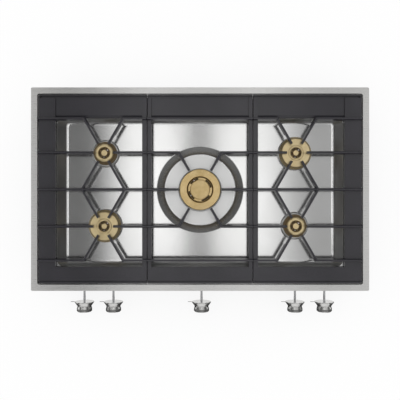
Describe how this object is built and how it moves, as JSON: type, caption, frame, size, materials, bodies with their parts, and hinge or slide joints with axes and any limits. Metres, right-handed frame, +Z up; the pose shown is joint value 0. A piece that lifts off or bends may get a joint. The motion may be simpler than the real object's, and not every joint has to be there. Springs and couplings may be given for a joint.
{
  "type": "gas cooktop",
  "caption": "Built-in gas cooktop: steel tray in a flat rim, cast pan supports, brass burners with a two-ring middle burner, and knobs on front spindles.",
  "frame": {"origin": "centre of the worktop cut-out, on the worktop's upper surface", "axes": "+Z up, +X to the cook's right, +Y towards the wall; the knobs are at -Y"},
  "size_m": [0.904, 0.6123, 0.132],
  "materials": {
    "frame_steel": "satin brushed",
    "tray_steel": "brushed, half gloss",
    "housing_steel": "galvanised",
    "screw_steel": "plated",
    "trim_steel": "polished",
    "seal_rubber": "matt",
    "foot_rubber": "matt",
    "enamelled_iron": "satin enamel",
    "burner_brass": "turned satin",
    "base_casting": "cast",
    "ceramic": "glazed",
    "probe_steel": "bare",
    "fitting_brass": "machined",
    "pipe_aluminium": "drawn",
    "manifold_steel": "plated",
    "module_plastic": "moulded",
    "lead_rubber": "silicone",
    "knob_steel": "turned satin",
    "spindle_steel": "bright"
  },
  "bodies": {
    "chassis": {"surround_frame": "frame_steel", "worktop_seal": "seal_rubber", "burner_tray": "tray_steel", "bottom_housing": "housing_steel", "housing_screws": "screw_steel", "small_burner_bases": "base_casting", "large_burner_bases": "base_casting", "wok_burner_base": "base_casting", "small_trim_rings": "trim_steel", "large_trim_rings": "trim_steel", "wok_trim_ring": "trim_steel", "igniters": "ceramic", "thermocouples": "probe_steel", "injectors": "fitting_brass", "burner_screws": "screw_steel", "gas_manifold": "manifold_steel", "gas_taps": "fitting_brass", "gas_pipes": "pipe_aluminium", "gas_inlet": "fitting_brass", "tap_rail": "housing_steel", "ignition_module": "module_plastic", "ignition_leads": "lead_rubber", "cable_gland": "module_plastic", "worktop_clamps": "housing_steel", "clamp_screws": "screw_steel", "spindle_guides": "spindle_steel", "return_springs": "screw_steel"},
    "support_left": {"pan_support_left": "enamelled_iron", "support_pads_left": "foot_rubber"},
    "support_middle": {"pan_support_middle": "enamelled_iron", "support_pads_middle": "foot_rubber"},
    "support_right": {"pan_support_right": "enamelled_iron", "support_pads_right": "foot_rubber"},
    "head_rear_left": {"crown_rear_left": "burner_brass", "spreader_rear_left": "burner_brass"},
    "head_front_left": {"crown_front_left": "burner_brass", "spreader_front_left": "burner_brass"},
    "head_front_right": {"crown_front_right": "burner_brass", "spreader_front_right": "burner_brass"},
    "head_rear_right": {"crown_rear_right": "burner_brass", "spreader_rear_right": "burner_brass"},
    "wok_ring_head": {"wok_outer_crown": "burner_brass"},
    "wok_centre_head": {"wok_inner_crown": "burner_brass"},
    "wok_cap_piece": {"wok_cap": "burner_brass"},
    "tap_collar_rear_left": {"push_collar_rear_left": "fitting_brass"},
    "control_rear_left": {"knob_rear_left": "knob_steel", "spindle_rear_left": "spindle_steel"},
    "tap_collar_front_left": {"push_collar_front_left": "fitting_brass"},
    "control_front_left": {"knob_front_left": "knob_steel", "spindle_front_left": "spindle_steel"},
    "tap_collar_middle": {"push_collar_middle": "fitting_brass"},
    "control_middle": {"knob_middle": "knob_steel", "spindle_middle": "spindle_steel"},
    "tap_collar_front_right": {"push_collar_front_right": "fitting_brass"},
    "control_front_right": {"knob_front_right": "knob_steel", "spindle_front_right": "spindle_steel"},
    "tap_collar_rear_right": {"push_collar_rear_right": "fitting_brass"},
    "control_rear_right": {"knob_rear_right": "knob_steel", "spindle_rear_right": "spindle_steel"}
  },
  "joints": [
    {"name": "lift_support_left", "type": "slide", "parent": "chassis", "child": "support_left", "axis": [0, 0, 1], "range_m": [0, 0.15]},
    {"name": "lift_support_middle", "type": "slide", "parent": "chassis", "child": "support_middle", "axis": [0, 0, 1], "range_m": [0, 0.15]},
    {"name": "lift_support_right", "type": "slide", "parent": "chassis", "child": "support_right", "axis": [0, 0, 1], "range_m": [0, 0.15]},
    {"name": "lift_head_rear_left", "type": "slide", "parent": "chassis", "child": "head_rear_left", "axis": [0, 0, 1], "range_m": [0, 0.08]},
    {"name": "lift_head_front_left", "type": "slide", "parent": "chassis", "child": "head_front_left", "axis": [0, 0, 1], "range_m": [0, 0.08]},
    {"name": "lift_head_front_right", "type": "slide", "parent": "chassis", "child": "head_front_right", "axis": [0, 0, 1], "range_m": [0, 0.08]},
    {"name": "lift_head_rear_right", "type": "slide", "parent": "chassis", "child": "head_rear_right", "axis": [0, 0, 1], "range_m": [0, 0.08]},
    {"name": "lift_wok_ring", "type": "slide", "parent": "chassis", "child": "wok_ring_head", "axis": [0, 0, 1], "range_m": [0, 0.08]},
    {"name": "lift_wok_centre", "type": "slide", "parent": "chassis", "child": "wok_centre_head", "axis": [0, 0, 1], "range_m": [0, 0.08]},
    {"name": "lift_wok_cap", "type": "slide", "parent": "wok_centre_head", "child": "wok_cap_piece", "axis": [0, 0, 1], "range_m": [0, 0.05]},
    {"name": "push_rear_left", "type": "slide", "parent": "chassis", "child": "tap_collar_rear_left", "axis": [0, 1, 0], "range_m": [0, 0.003], "stiffness_N_per_m": 800, "springref_m": -0.003},
    {"name": "turn_rear_left", "type": "hinge", "parent": "tap_collar_rear_left", "child": "control_rear_left", "pos_m": [-0.323, -0.3123, -0.062], "axis": [0, -1, 0], "range_deg": [0, 210]},
    {"name": "push_front_left", "type": "slide", "parent": "chassis", "child": "tap_collar_front_left", "axis": [0, 1, 0], "range_m": [0, 0.003], "stiffness_N_per_m": 800, "springref_m": -0.003},
    {"name": "turn_front_left", "type": "hinge", "parent": "tap_collar_front_left", "child": "control_front_left", "pos_m": [-0.242, -0.3123, -0.062], "axis": [0, -1, 0], "range_deg": [0, 210]},
    {"name": "push_middle", "type": "slide", "parent": "chassis", "child": "tap_collar_middle", "axis": [0, 1, 0], "range_m": [0, 0.003], "stiffness_N_per_m": 800, "springref_m": -0.003},
    {"name": "turn_middle", "type": "hinge", "parent": "tap_collar_middle", "child": "control_middle", "pos_m": [0.004, -0.3123, -0.062], "axis": [0, -1, 0], "range_deg": [0, 210]},
    {"name": "push_front_right", "type": "slide", "parent": "chassis", "child": "tap_collar_front_right", "axis": [0, 1, 0], "range_m": [0, 0.003], "stiffness_N_per_m": 800, "springref_m": -0.003},
    {"name": "turn_front_right", "type": "hinge", "parent": "tap_collar_front_right", "child": "control_front_right", "pos_m": [0.265, -0.3123, -0.062], "axis": [0, -1, 0], "range_deg": [0, 210]},
    {"name": "push_rear_right", "type": "slide", "parent": "chassis", "child": "tap_collar_rear_right", "axis": [0, 1, 0], "range_m": [0, 0.003], "stiffness_N_per_m": 800, "springref_m": -0.003},
    {"name": "turn_rear_right", "type": "hinge", "parent": "tap_collar_rear_right", "child": "control_rear_right", "pos_m": [0.347, -0.3123, -0.062], "axis": [0, -1, 0], "range_deg": [0, 210]}
  ],
  "couplings": [
    {"joint": "lift_head_front_left", "follows": "lift_support_left", "ratio": 0.5},
    {"joint": "lift_head_rear_right", "follows": "lift_support_right", "ratio": 0.5}
  ]
}
